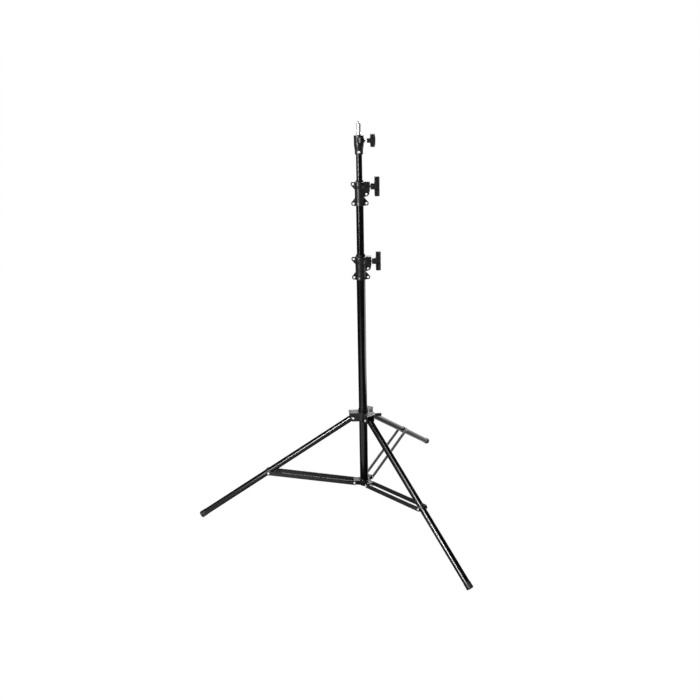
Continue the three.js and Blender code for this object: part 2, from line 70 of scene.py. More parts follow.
COLUMN_X = middle("base_tube").x
COLUMN = Matrix.Translation((COLUMN_X, 0, 0))
LEG_PIN_Z = middle("leg_pin_1").z / MM
BRACE_PIN_Z = middle("brace_pin_1").z / MM
PIN_CIRCLE = 42  # how far the leg and brace pins are from the column's axis
LEG_AZIMUTHS = {1: 180, 2: 60, 3: 300}
LEG_ANGLE = math.radians(56.65)  # from the vertical
LEG_REACH = 789.4  # pin to the end of the foot
BRACE_DISTANCE = 434  # leg pin to brace rivet, along the leg
BRACE_RISE = LEG_PIN_Z - BRACE_DISTANCE * math.cos(LEG_ANGLE) - BRACE_PIN_Z
BRACE_RUN = BRACE_DISTANCE * math.sin(LEG_ANGLE)
BRACE_LENGTH = math.hypot(BRACE_RISE, BRACE_RUN)
BRACE_ANGLE = math.atan2(BRACE_RUN, BRACE_RISE)


def raised(z):
    """The column's frame, raised z millimetres."""
    return COLUMN @ Matrix.Translation((0, 0, z * MM))


def arm(number, z, tilt):
    """A frame on the pin circle of one leg, z millimetres up, tilted about its pin."""
    turn = Matrix.Rotation(math.radians(LEG_AZIMUTHS[number]), 4, "Z")
    out = Matrix.Translation((PIN_CIRCLE * MM, 0, z * MM))
    return COLUMN @ turn @ out @ Matrix.Rotation(tilt, 4, "Y")


def leg_frame(number):
    return arm(number, LEG_PIN_Z, -LEG_ANGLE)


def brace_frame(number):
    return arm(number, BRACE_PIN_Z, BRACE_ANGLE)


# ---- solids -------------------------------------------------------------------------------


def softened(outline, radius, steps=4, closed=True):
    """An outline with rounded corners; a third number on a point is that corner's own radius."""
    points = []
    for i, point in enumerate(outline):
        own = point[2] if len(point) > 2 else radius
        corner = Vector(point[:2])
        if own == 0 or (not closed and i in (0, len(outline) - 1)):
            points.append(corner)
            continue
        before = Vector(outline[i - 1][:2]) - corner
        after = Vector(outline[(i + 1) % len(outline)][:2]) - corner
        reach = min(own, 0.48 * before.length, 0.48 * after.length)
        start = corner + before.normalized() * reach
        end = corner + after.normalized() * reach
        for k in range(steps + 1):
            t = k / steps
            points.append(start * (1 - t) ** 2 + corner * 2 * t * (1 - t) + end * t * t)
    return points


def closed_solid(solid):
    bmesh.ops.recalc_face_normals(solid, faces=solid.faces)
    return solid


def skin_rings(solid, rings, loop):
    """Faces between rings of vertices about an axis; a ring of one vertex is a pole."""
    pairs = list(zip(rings, rings[1:]))
    if loop:
        pairs.append((rings[-1], rings[0]))
    for low, high in pairs:
        count = max(len(low), len(high))
        for k in range(count):
            n = (k + 1) % count
            corners = [low[k % len(low)], low[n % len(low)], high[n % len(high)], high[k % len(high)]]
            corners = list(dict.fromkeys(corners))
            if len(corners) > 2:
                solid.faces.new(corners)
    return closed_solid(solid)


def turned(profile, segments=SEGMENTS, radius=0.5, steps=3):
    """A solid turned about Z from a list of (radius, z), closed or from axis to axis."""
    on_axis = profile[0][0] == 0
    solid = bmesh.new()
    rings = []
    for r, z in softened(profile, radius, steps, closed=not on_axis):
        if r < 1e-6:
            rings.append([solid.verts.new((0, 0, z))])
            continue
        angles = [math.tau * k / segments for k in range(segments)]
        rings.append([solid.verts.new((r * math.cos(a), r * math.sin(a), z)) for a in angles])
    return skin_rings(solid, rings, loop=not on_axis)


def ring(inner, outer, low, high, segments=SEGMENTS, radius=0.4):
    return turned([(inner, low), (outer, low), (outer, high), (inner, high)], segments, radius)


def rod(r, low, high, segments=48, radius=0.3):
    return turned([(0, low), (r, low), (r, high), (0, high)], segments, radius)


THREAD_DEPTH = 0.55
CLAMP_PITCH, FINE_PITCH = 1.25, 1.0


def threaded(r, low, high, pitch, depth=THREAD_DEPTH, segments=40):
    """A rod with a real helical thread and plain coned ends."""
    solid = bmesh.new()
    per_turn = 8
    count = round((high - low) / pitch * per_turn)
    rings = [[solid.verts.new((0, 0, low))]]
    for i in range(count + 1):
        z = low + (high - low) * i / count
        fade = min(1, (z - low) / pitch, (high - z) / pitch)
        points = []
        for k in range(segments):
            a = math.tau * k / segments
            phase = (z / pitch - k / segments) % 1
            groove = abs(phase * 2 - 1)
            here = r - depth + depth * groove * fade
            points.append(solid.verts.new((here * math.cos(a), here * math.sin(a), z)))
        rings.append(points)
    rings.append([solid.verts.new((0, 0, high))])
    return skin_rings(solid, rings, loop=False)


def prism(outline, low, high, rim=0.0, steps=2):
    """A plate whose outline lies in the XZ plane, between two values of y, with round rims."""
    solid = bmesh.new()
    near = [solid.verts.new((x, low, z)) for x, z in outline]
    far = [solid.verts.new((x, high, z)) for x, z in outline]
    caps = [solid.faces.new(near), solid.faces.new(far[::-1])]
    for k in range(len(near)):
        n = (k + 1) % len(near)
        solid.faces.new([near[n], near[k], far[k], far[n]])
    closed_solid(solid)
    if rim:
        edges = list({edge for cap in caps for edge in cap.edges})
        bmesh.ops.bevel(
            solid, geom=edges, offset=rim, segments=steps, profile=0.5, affect="EDGES",
            clamp_overlap=True,
        )
    return solid


def rectangle(x0, z0, x1, z1, r=0.0, steps=5):
    corners = [(x0, z0), (x1, z0), (x1, z1), (x0, z1)]
    return softened(corners, r, steps) if r else [Vector(c) for c in corners]


def arc(x, z, r, start, end, steps=12):
    """Points of an arc in the XZ plane, from one angle in degrees to another."""
    angles = [math.radians(start + (end - start) * k / steps) for k in range(steps + 1)]
    return [Vector((x + r * math.cos(a), z + r * math.sin(a))) for a in angles]


def moved(solid, *matrices):
    for matrix in matrices:
        solid.transform(matrix)
    return solid


def along_x(solid, z=0):
    """A solid on Z laid along +X, z millimetres up."""
    return moved(solid, Matrix.Rotation(math.pi / 2, 4, "Y"), Matrix.Translation((0, 0, z)))


def along_y(solid, x=0, z=0, flip=False):
    """A solid on Z laid along +Y, or along -Y."""
    turn = math.pi / 2 if flip else -math.pi / 2
    return moved(solid, Matrix.Rotation(turn, 4, "X"), Matrix.Translation((x, 0, z)))


def about(solid_maker, degrees):
    """One copy of a solid for each angle about Z."""
    return [moved(solid_maker(), Matrix.Rotation(math.radians(d), 4, "Z")) for d in degrees]


def helper(solid):
    """A mesh object that holds a solid while it is being worked on."""
    mesh = bpy.data.meshes.new("helper")
    solid.to_mesh(mesh)
    solid.free()
    thing = bpy.data.objects.new("helper", mesh)
    scene.collection.objects.link(thing)
    return thing


def finished(thing, extras=()):
    """The helper's mesh with its modifiers applied; the helper and its tools are removed."""
    bpy.context.view_layer.update()
    graph = bpy.context.evaluated_depsgraph_get()
    mesh = bpy.data.meshes.new_from_object(thing.evaluated_get(graph))
    for used in [thing, *extras]:
        data = used.data
        bpy.data.objects.remove(used)
        bpy.data.meshes.remove(data)
    return mesh


def combined(solid, joined=(), cut=(), grain=None, keep=1.0, smooth=4):
    """A solid with others joined to it and cut from it. With a grain, in millimetres, its edges
    and joins are rounded as a moulding's or a casting's are."""
    target = helper(solid)
    tools = []
    for operation, solids in (("UNION", joined), ("DIFFERENCE", cut)):
        for tool in solids:
            tools.append(helper(tool))
            step = target.modifiers.new("shape", "BOOLEAN")
            step.operation, step.solver, step.object = operation, "MANIFOLD", tools[-1]
    if grain:
        remesh = target.modifiers.new("mould", "REMESH")
        remesh.mode, remesh.voxel_size = "VOXEL", grain
        soften = target.modifiers.new("soften", "SMOOTH")
        soften.factor, soften.iterations = 0.5, smooth
        if keep < 1:
            thin = target.modifiers.new("thin", "DECIMATE")
            thin.ratio = keep
    return finished(target, tools)


def plain(solid):
    return finished(helper(solid))


# ---- finishes -----------------------------------------------------------------------------


class Finish:
    """A procedural material on object coordinates, in metres."""

    def __init__(self, name, **shader):
        self.material = bpy.data.materials.new(name)
        self.material.use_nodes = True
        self.tree = self.material.node_tree
        self.shader = self.tree.nodes["Principled BSDF"]
        for socket, value in shader.items():
            self.shader.inputs[socket.replace("_", " ")].default_value = value
        self.where = self.node("ShaderNodeTexCoord").outputs["Object"]

    def node(self, kind, **settings):
        made = self.tree.nodes.new(kind)
        for key, value in settings.items():
            setattr(made, key, value)
        return made

    def link(self, output, socket):
        self.tree.links.new(output, socket)

    def stretched(self, x, y, z):
        """Object coordinates scaled on each axis."""
        mapping = self.node("ShaderNodeMapping")
        mapping.inputs["Scale"].default_value = (x, y, z)
        self.link(self.where, mapping.inputs["Vector"])
        return mapping.outputs["Vector"]

    def noise(self, size, detail=3.0, rough=0.5, where=None):
        """Noise whose features are that many millimetres across."""
        noise = self.node("ShaderNodeTexNoise")
        noise.inputs["Scale"].default_value = 1 / (size * MM)
        noise.inputs["Detail"].default_value = detail
        noise.inputs["Roughness"].default_value = rough
        self.link(where or self.where, noise.inputs["Vector"])
        return noise.outputs["Fac"]

    def cells(self, size, where=None):
        voronoi = self.node("ShaderNodeTexVoronoi")
        voronoi.inputs["Scale"].default_value = 1 / (size * MM)
        self.link(where or self.where, voronoi.inputs["Vector"])
        return voronoi.outputs["Distance"]

    def spread(self, value, low, high, to_low, to_high):
        """Maps a value from one span to another, clamped."""
        span = self.node("ShaderNodeMapRange", clamp=True)
        for socket, number in zip(span.inputs[1:5], (low, high, to_low, to_high)):
            socket.default_value = number
        self.link(value, span.inputs["Value"])
        return span.outputs["Result"]

    def sum(self, first, second, operation="ADD"):
        maths = self.node("ShaderNodeMath", operation=operation, use_clamp=True)
        self.link(first, maths.inputs[0])
        self.link(second, maths.inputs[1])
        return maths.outputs["Value"]

    def edges(self, low, high):
        """Rises from 0 to 1 on convex edges, where a finish wears."""
        geometry = self.node("ShaderNodeNewGeometry")
        return self.spread(geometry.outputs["Pointiness"], low, high, 0, 1)

    def colour(self, value, dark, light, low=0.3, high=0.7):
        ramp = self.node("ShaderNodeValToRGB")
        stops = ramp.color_ramp.elements
        stops[0].position, stops[1].position = low, high
        stops[0].color, stops[1].color = (*dark, 1), (*light, 1)
        self.link(value, ramp.inputs["Fac"])
        self.link(ramp.outputs["Color"], self.shader.inputs["Base Color"])
        return ramp

    def roughness(self, value):
        self.link(value, self.shader.inputs["Roughness"])

    def bump(self, value, height, strength=1.0, under=None):
        """Relief of a height in millimetres, over another relief if there is one."""
        bump = self.node("ShaderNodeBump")
        bump.inputs["Distance"].default_value = height * MM
        bump.inputs["Strength"].default_value = strength
        self.link(value, bump.inputs["Height"])
        if under:
            self.link(under, bump.inputs["Normal"])
        self.link(bump.outputs["Normal"], self.shader.inputs["Normal"])
        return bump.outputs["Normal"]


def gloss_paint():
    """Gloss black paint on drawn tube: faint orange peel, and fine lines along the tube."""
    f = Finish("gloss_paint", Specular_IOR_Level=0.55)
    along = f.noise(0.9, 4, 0.6, f.stretched(1, 1, 0.02))
    patches = f.noise(60, 3)
    f.colour(patches, (0.0012, 0.0012, 0.0014), (0.0026, 0.0026, 0.0029))
    f.roughness(f.spread(f.sum(along, patches, "MULTIPLY"), 0.1, 0.45, 0.15, 0.19))
    peel = f.bump(f.noise(2.4, 2), 0.0012, 0.5)
    f.bump(along, 0.0006, 0.4, peel)
    return f.material


def cast_paint():
    """Black textured paint on a casting, rubbed a little lighter along its edges."""
    f = Finish("cast_paint", Specular_IOR_Level=0.5)
    grain = f.noise(0.9, 4, 0.65)
    patches = f.noise(14, 3)
    worn = f.edges(0.53, 0.60)
    shade = f.sum(f.spread(patches, 0.3, 0.7, 0.0, 0.5), worn)
    f.colour(shade, (0.002, 0.002, 0.0023), (0.018, 0.0184, 0.0195), 0, 1)
    f.roughness(f.spread(grain, 0.3, 0.7, 0.24, 0.42))
    orange = f.bump(f.cells(1.8), 0.14, 0.6)
    f.bump(grain, 0.10, 0.9, orange)
    return f.material


def moulded_grip():
    """Black glass-filled nylon, with the fine spark texture of its mould."""
    f = Finish("moulded_grip", Specular_IOR_Level=0.4)
    grain = f.noise(0.55, 3, 0.6)
    patches = f.noise(9, 2)
    worn = f.edges(0.52, 0.62)
    shade = f.sum(f.spread(patches, 0.3, 0.7, 0.0, 0.4), worn)
    f.colour(shade, (0.002, 0.002, 0.0022), (0.016, 0.016, 0.017), 0, 1)
    f.roughness(f.spread(patches, 0.3, 0.7, 0.40, 0.52))
    f.bump(grain, 0.06, 0.8)
    return f.material


def smooth_nylon():
    """Black moulded nylon with a low sheen and faint turning marks."""
    f = Finish("smooth_nylon", Specular_IOR_Level=0.2)
    bands = f.noise(0.8, 2, 0.5, f.stretched(0.02, 0.02, 1))
    patches = f.noise(6, 3)
    f.colour(patches, (0.002, 0.002, 0.0022), (0.006, 0.006, 0.0065))
    f.roughness(f.spread(patches, 0.3, 0.7, 0.42, 0.56))
    f.bump(bands, 0.02, 0.6)
    return f.material


def soft_rubber():
    """Dull black rubber, dusty where it is rubbed."""
    f = Finish("soft_rubber", Specular_IOR_Level=0.5)
    dust = f.noise(7, 5, 0.65)
    f.colour(dust, (0.003, 0.003, 0.003), (0.014, 0.0136, 0.013), 0.4, 0.75)
    f.roughness(f.spread(dust, 0.3, 0.7, 0.36, 0.5))
    f.bump(f.noise(0.7, 4, 0.6), 0.05, 0.7)
    return f.material


def satin_bar():
    """Satin black paint on flat steel bar, with faint rolling lines along it."""
    f = Finish("satin_bar", Specular_IOR_Level=0.5)
    lines = f.noise(0.7, 3, 0.6, f.stretched(1, 1, 0.03))
    patches = f.noise(22, 3)
    worn = f.edges(0.54, 0.64)
    shade = f.sum(f.spread(patches, 0.3, 0.7, 0.0, 0.4), worn)
    f.colour(shade, (0.004, 0.004, 0.0045), (0.025, 0.025, 0.026), 0, 1)
    f.roughness(f.spread(lines, 0.3, 0.7, 0.36, 0.46))
    f.bump(lines, 0.006, 0.5)
    return f.material


def zinc_steel():
    """Bright zinc plate: pale, with a soft cloudy grain."""
    f = Finish("zinc_steel", Metallic=0.65)
    cloud = f.noise(1.6, 4, 0.6)
    f.colour(cloud, (0.80, 0.81, 0.83), (0.93, 0.94, 0.95))
    f.roughness(f.spread(cloud, 0.3, 0.7, 0.34, 0.5))
    f.bump(f.noise(0.3, 2), 0.006, 0.5)
    return f.material


def satin_chrome():
    """Satin chrome with hairline marks round it."""
    f = Finish("satin_chrome", Metallic=0.8)
    rings = f.noise(0.35, 2, 0.5, f.stretched(0.03, 0.03, 1))
    f.colour(f.noise(12, 2), (0.86, 0.87, 0.89), (0.93, 0.94, 0.95))
    f.roughness(f.spread(rings, 0.3, 0.7, 0.16, 0.24))
    f.bump(rings, 0.0002, 0.3)
    return f.material


def turned_brass():
    """Brass as it comes from the lathe."""
    f = Finish("turned_brass", Metallic=1.0)
    rings = f.noise(0.4, 3, 0.5, f.stretched(0.05, 1, 1))
    f.colour(f.noise(3, 3), (0.60, 0.47, 0.22), (0.76, 0.63, 0.35))
    f.roughness(f.spread(rings, 0.3, 0.7, 0.22, 0.40))
    f.bump(rings, 0.004, 0.5)
    return f.material


FINISHES = {
    "tube": gloss_paint(),
    "casting": cast_paint(),
    "knob": moulded_grip(),
    "nylon": smooth_nylon(),
    "rubber": soft_rubber(),
    "bar": satin_bar(),
    "steel": zinc_steel(),
    "chrome": satin_chrome(),
    "brass": turned_brass(),
}


def piece(name, mesh, place, body, slot, nodes=(), sharp=40):
    """A finished piece: a mesh in millimetres set in its own frame, riding on its body."""
    mesh.name = name
    mesh.transform(Matrix.Scale(MM, 4))
    mesh.materials.clear()
    mesh.materials.append(FINISHES[slot])
    mesh.shade_smooth()
    if sharp:
        mesh.set_sharp_from_angle(angle=math.radians(sharp))
    thing = bpy.data.objects.new(name, mesh)
    scene.collection.objects.link(thing)
    thing.matrix_world = place
    if sharp:
        thing.modifiers.new("even_shading", "WEIGHTED_NORMAL").keep_sharp = True
    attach(thing, body)
    if nodes:
        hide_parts(*nodes)
    return thing


# ---- column tubes -------------------------------------------------------------------------

BASE_R, MID_R, TOP_R, LEG_R = 17.5, 14.5, 11.5, 13.0
WALL = 1.5


def span_of(node):
    low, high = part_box(node)
    return low.z / MM, high.z / MM


def build_tubes():
    owners = {
        "base_tube": ("root", BASE_R),
        "mid_tube": ("mid_section", MID_R),
        "top_tube": ("top_section", TOP_R),
    }
    for node, (body, r) in owners.items():
        low, high = span_of(node)
        shell = ring(r - WALL, r, 0, high - low)
        piece(node.replace("_tube", "_section_tube"), plain(shell), raised(low), body, "tube", [node])


def build_bottom_plug():
    low, high = span_of("bottom_plug")
    spigot = BASE_R - WALL - GAP
    lip = BASE_R
    profile = [
        (0, 1.6), (8, 1.4), (9, 0), (lip, 0), (lip, 3.2), (spigot, 3.2), (spigot, high - low),
        (spigot - 4, high - low), (spigot - 4, 8), (0, 8),
    ]
    piece("bottom_end_plug", plain(turned(profile)), raised(low), "root", "nylon", ["bottom_plug"])


# ---- collars with their clamps ------------------------------------------------------------

COLLAR_HEIGHT = 92
GRIP_LENGTH = 60
LUG_R = 8.5
LUG_OUT = 5.5
LUG_HALF = 4
EYELET_R = 4.3
CLAMP_BLOCK = 20
BLOCK_LOW, FLANGE_LOW = 53, 34
FLANGE_EYELET = (7, 43)
CLAMP_Z = COLLAR_HEIGHT - 20
SCREW_R = 4
KNOB_GAP = 3
CLAMP_KNOB = {"stem": 15, "stem_r": 12, "depth": 19, "span": 75, "thickness": 15}
LOWER_COLLAR = {"tube_r": BASE_R, "sliding_r": MID_R, "radius": 21, "rim_height": 9, "rim_width": 4.6}
UPPER_COLLAR = {"tube_r": MID_R, "sliding_r": TOP_R, "radius": 18.5, "rim_height": 4, "rim_width": 4.2}


def lug(x, z, side, body, lift):
    """A flat ear with a round end: its straight edge is level, and its other edge slopes."""
    edge = z + lift * LUG_R
    start = 90 * lift
    end = -36 * lift if side > 0 else 180 + 36 * lift
    if side < 0 and lift < 0:
        start, end = 270, 144
    outline = [Vector((body * side, edge)), *arc(x, z, LUG_R, start, end)]
    outline.append(Vector((body * side, z - lift * 3.2 * LUG_R)))
    return prism(outline, -LUG_HALF, LUG_HALF)


def eyelet(x, z, half=LUG_HALF, r=EYELET_R):
    """The tool that cuts an eyelet with dished rims."""
    lip = r + 1.2
    profile = [
        (0, -half - 1), (lip + 1, -half - 1), (lip, -half), (r, -half + 1.3),
        (r, half - 1.3), (lip, half), (lip + 1, half + 1), (0, half + 1),
    ]
    return along_y(turned(profile, 40, 0.3), x, z)


def clamp_block(radius):
    outer = radius + CLAMP_BLOCK
    inner = radius - 5
    flange = [
        (inner, FLANGE_LOW, 0), (radius + 7, FLANGE_LOW, 5), (outer - 3, FLANGE_LOW + 6, 12),
        (outer, BLOCK_LOW + 6, 8), (outer, COLLAR_HEIGHT, 3), (inner, COLLAR_HEIGHT, 0),
    ]
    block = [
        (inner, BLOCK_LOW, 0), (outer, BLOCK_LOW, 4), (outer, COLLAR_HEIGHT, 3),
        (inner, COLLAR_HEIGHT, 0),
    ]
    return [prism(softened(flange, 0), -5, 5), prism(softened(block, 0), -12, 12, 2.4, 3)]


def collar(tube_r, radius):
    lug_x = radius + LUG_OUT
    high_z = COLLAR_HEIGHT - LUG_R - 1
    top = COLLAR_HEIGHT
    shell = turned([
        (tube_r - 3, 0), (radius + 1, 0), (radius + 1.6, 4), (radius + 0.4, 9), (radius, 14),
        (radius, 66), (radius + 2, 78), (radius + 2, top - 1.5), (radius + 0.5, top), (tube_r - 3, top),
    ], SEGMENTS, 1.0)
    joined = [
        lug(-lug_x, LUG_R, -1, radius - 5, -1),
        lug(lug_x + 1.5, LUG_R, 1, radius - 5, -1),
        lug(-lug_x - 1, high_z, -1, radius - 5, 1),
        *clamp_block(radius),
    ]
    cut = [
        rod(tube_r + GAP, -1, COLLAR_HEIGHT + 1, SEGMENTS, 0),
        along_x(rod(SCREW_R + GAP, 0, radius + CLAMP_BLOCK + 1), CLAMP_Z),
        eyelet(-lug_x, LUG_R),
        eyelet(lug_x + 1.5, LUG_R),
        eyelet(-lug_x - 1, high_z),
        eyelet(radius + FLANGE_EYELET[0], FLANGE_EYELET[1], 5),
    ]
    return combined(shell, joined, cut, grain=0.55, keep=0.4)


def collar_bush(tube_r, sliding_r, rim_height, rim_width, **_):
    low, rim = GRIP_LENGTH + GAP, COLLAR_HEIGHT + GAP
    top, foot = rim + rim_height, sliding_r + rim_width
    bore = sliding_r + GAP
    return turned([
        (bore, low), (tube_r, low), (tube_r, rim, 0), (foot, rim),
        (foot - 0.2, rim + rim_height * 0.25),
        (sliding_r + 2.1, top - 0.8), (sliding_r + 1.5, top), (bore, top),
    ], SEGMENTS, 0.8)


def t_knob(start, stem, stem_r, depth, span, thickness, bow=0.0):
    """A T-shaped knob: stem along +X, wings along Z, with a boss and a pocket in each wing."""
    wing_x, end_x, skin, half = start + stem, start + stem + depth, thickness / 2, span / 2
    outline = softened([
        (wing_x, -half, 4), (end_x - bow, -half, 4), (end_x, -half * 0.4, 12), (end_x, half * 0.4, 12),
        (end_x - bow, half, 4), (wing_x, half, 4), (wing_x, stem_r + 2, 3),
        (wing_x - 2.5, stem_r - 0.5, 3), (wing_x - 2.5, 0.5 - stem_r, 3), (wing_x, -stem_r - 2, 3),
    ], 3, 5)
    shaft = along_x(turned([
        (0, start), (stem_r - 1, start), (stem_r, start + 1.2), (stem_r, end_x - 3),
        (stem_r - 3, end_x - 0.4), (0, end_x - 0.4),
    ], 64, 0.8))
    pocket = rectangle(wing_x + 4.5, stem_r + 3, end_x - 4 - bow * 0.6, half - 4, 2)
    mirrored = [Vector((x, -z)) for x, z in pocket][::-1]
    depths = ((skin - 2.2, skin + 3), (-skin - 3, 2.2 - skin))
    pockets = [prism(shape, *span) for shape in (pocket, mirrored) for span in depths]
    dish = along_x(turned([
        (0, end_x - 1.6), (stem_r - 5, end_x - 1.6), (stem_r - 4, end_x + 1), (0, end_x + 1),
    ], 48, 0.3))
    return shaft, [prism(outline, -skin, skin, 1.8, 3)], [*pockets, dish]


def build_knob(name, shape, screw_r, place, body, nodes):
    shaft, joined, cut = t_knob(**shape)
    hole_end = shape["start"] + shape["stem"]
    cut.append(along_x(rod(screw_r + GAP, shape["start"] - 5, hole_end, 40)))
    knob = combined(shaft, joined, cut, grain=0.5, keep=0.45)
    piece(name, knob, place, body, "knob", nodes, sharp=0)


def build_screw(name, r, low, high, pitch, place, body, nodes):
    screw = along_x(threaded(r, low, high, pitch))
    piece(name, plain(screw), place, body, "steel", nodes)


def build_collar(which, body, knob_body, sizes):
    tube_r, radius = sizes["tube_r"], sizes["radius"]
    base = height_of(f"{which}_collar")
    place = raised(base)
    casting = collar(tube_r, radius)
    piece(f"{which}_clamp_casting", casting, place, body, "casting", [f"{which}_collar"], sharp=0)
    bush = plain(collar_bush(**sizes))
    piece(f"{which}_guide_bush", bush, place, body, "nylon", [f"{which}_collar_bush"])

    axis = raised(base + CLAMP_Z)
    start = radius + CLAMP_BLOCK + KNOB_GAP
    shape = {"start": start, **CLAMP_KNOB}
    build_knob(f"{which}_t_knob", shape, SCREW_R, axis, knob_body, [f"{which}_clamp_knob"])
    span = (tube_r + 4 + GAP, start + shape["stem"] - GAP)
    screw = [f"{which}_clamp_screw"]
    build_screw(f"{which}_thread", SCREW_R, *span, CLAMP_PITCH, axis, knob_body, screw)


# ---- top socket and stud ------------------------------------------------------------------

SOCKET_HEIGHT, SOCKET_R, SOCKET_NECK_R = 72, 18.5, 15.5
SOCKET_TUBE_DEPTH = 32
SOCKET_SCREW_Z, SOCKET_SCREW_R = 50, 3
SOCKET_BOSS_R, SOCKET_BOSS_END = 8.5, SOCKET_R + 3
SOCKET_WINDOW = (-6.5, 41, 6.5, 65)  # left, low, right, high
SOCKET_KNOB = {
    "start": 30, "stem": 12.5, "stem_r": 9, "depth": 19, "span": 48, "thickness": 13, "bow": 2.5,
}
RIVET_HEIGHT = 10
STUD_R, STUD_TIP_R, STUD_TOP = 8, 4.75, 125


def build_socket():
    place = raised(height_of("top_socket"))
    body = turned([
        (0, 0), (SOCKET_NECK_R - 0.8, 0), (SOCKET_NECK_R, 0.8), (SOCKET_NECK_R, 15, 6),
        (SOCKET_R, 34, 6),
        (SOCKET_R, SOCKET_HEIGHT - 1.5), (SOCKET_R - 1.5, SOCKET_HEIGHT), (0, SOCKET_HEIGHT),
    ], SEGMENTS, 0.8)
    boss = along_x(turned([
        (0, STUD_R), (SOCKET_BOSS_R, STUD_R), (SOCKET_BOSS_R, SOCKET_BOSS_END), (0, SOCKET_BOSS_END),
    ], 64, 1.2), SOCKET_SCREW_Z)
    window = rectangle(*SOCKET_WINDOW, 6.3, 8)
    shell = combined(body, [boss], [
        rod(TOP_R + GAP, -1, SOCKET_TUBE_DEPTH, SEGMENTS, 0),
        rod(STUD_R + GAP, SOCKET_TUBE_DEPTH - 1, SOCKET_HEIGHT + 1, SEGMENTS, 0),
        along_x(rod(SOCKET_SCREW_R + GAP, 0, SOCKET_R + 10), SOCKET_SCREW_Z),
        prism(window, -SOCKET_R - 5, 0),
        along_y(rod(3 + GAP, -SOCKET_R, SOCKET_R, 32), 0, RIVET_HEIGHT),
    ], grain=0.45, keep=0.4)
    piece("stud_socket", shell, place, "top_section", "casting", ["top_socket"], sharp=0)

    face = SOCKET_NECK_R + GAP
    rivet = along_y(turned([
        (0, face + 1.6), (2.6, face + 1.5), (4.2, face + 0.6), (4.2, face), (3, face),
        (3, -SOCKET_NECK_R), (0, -SOCKET_NECK_R),
    ], 40, 0.3), 0, RIVET_HEIGHT, flip=True)
    piece("socket_rivet_head", plain(rivet), place, "top_section", "steel", ["socket_rivet"])

    foot, groove = SOCKET_TUBE_DEPTH + 2 * GAP, SOCKET_HEIGHT + 4
    stud = turned([
        (0, foot), (STUD_R - 1, foot), (STUD_R, foot + 1), (STUD_R, groove),
        (STUD_R - 1.6, groove + 1.6), (STUD_R - 1.6, groove + 5), (STUD_R, groove + 6.6),
        (STUD_R, STUD_TOP - 11.2),
        (STUD_R - 1.2, STUD_TOP - 10), (STUD_TIP_R - 0.8, STUD_TOP - 10),
        (STUD_TIP_R - 0.8, STUD_TOP - 9), (0, STUD_TOP - 9),
    ], SEGMENTS, 0.4)
    tip = threaded(STUD_TIP_R, STUD_TOP - 9.5, STUD_TOP, 1.6, 0.8, 48)
    piece("stud_post", combined(stud, [tip]), place, "stud", "chrome", ["stud"])

    axis = raised(height_of("top_socket") + SOCKET_SCREW_Z)
    build_knob("socket_t_knob", SOCKET_KNOB, SOCKET_SCREW_R, axis, "socket_knob", ["socket_knob"])
    screw_end = SOCKET_KNOB["start"] + SOCKET_KNOB["stem"] - GAP
    span = (STUD_R + GAP, screw_end)
    screw = ["socket_screw"]
    build_screw("socket_thread", SOCKET_SCREW_R, *span, FINE_PITCH, axis, "socket_knob", screw)


# ---- hubs ---------------------------------------------------------------------------------

HUB_LOW, HUB_TOP = -15, 23.5
HUB_R = 25
EAR_INNER, EAR_OUTER = LEG_R + 0.6, 18
ARM_END = PIN_CIRCLE + 17
ARM_ROOF = 18
EAR_R = 15
HUB_SLEEVE_R = 19.8
HUB_BOSS_R, HUB_BOSS_END = 8.5, 34
HUB_ROOT = 19  # where the arms and tongues meet their ring
BOTTOM_HUB_R = 24
PIN_R, PIN_HEAD_R, PIN_HEAD = 3, 5, 2
HUB_SCREW_Z = middle("hub_lock_screw").z / MM - LEG_PIN_Z
LOCK_SCREW_END = 60


def leg_hub():
    """The leg hub seen from the level of the leg pins: three roofed forks on a ring."""
    root = HUB_ROOT
    ear = [Vector((root, HUB_LOW)), Vector((PIN_CIRCLE, HUB_LOW)), *arc(PIN_CIRCLE, 0, EAR_R, -90, 0)]
    ear += softened([(ARM_END, HUB_TOP - 8, 3), (ARM_END, HUB_TOP, 5), (root, HUB_TOP, 0)], 0)
    roof = softened([
        (root, ARM_ROOF, 0), (ARM_END, ARM_ROOF, 0), (ARM_END, HUB_TOP, 4.4), (root, HUB_TOP, 0),
    ], 0)
    azimuths = list(LEG_AZIMUTHS.values())
    joined = [
        *about(lambda: prism(ear, EAR_INNER, EAR_OUTER), azimuths),
        *about(lambda: prism(ear, -EAR_OUTER, -EAR_INNER), azimuths),
        *about(lambda: prism(roof, -EAR_INNER - 1, EAR_INNER + 1), azimuths),
        along_x(rod(HUB_BOSS_R, 20, HUB_BOSS_END, 48, 1.0), HUB_SCREW_Z),
    ]
    cut = [
        rod(HUB_SLEEVE_R + GAP, HUB_LOW - 1, HUB_TOP + 1, SEGMENTS, 0),
        along_x(rod(PIN_R + GAP, 0, 40), HUB_SCREW_Z),
        *about(lambda: along_y(rod(PIN_R + GAP, -25, 25, 32), PIN_CIRCLE), azimuths),
    ]
    shell = ring(17, HUB_R, HUB_LOW, HUB_TOP, SEGMENTS, 1.5)
    return combined(shell, joined, cut, grain=0.6, keep=0.4)


def hub_bush():
    bore, sleeve = BASE_R + GAP, HUB_SLEEVE_R
    return turned([
        (bore, HUB_LOW), (sleeve, HUB_LOW), (sleeve, HUB_TOP + GAP, 0), (sleeve + 1, HUB_TOP + GAP),
        (sleeve + 0.6, HUB_TOP + 4), (BASE_R + 1.6, HUB_TOP + 13.2), (BASE_R + 1.1, HUB_TOP + 14),
        (bore, HUB_TOP + 14),
    ], SEGMENTS, 0.7)


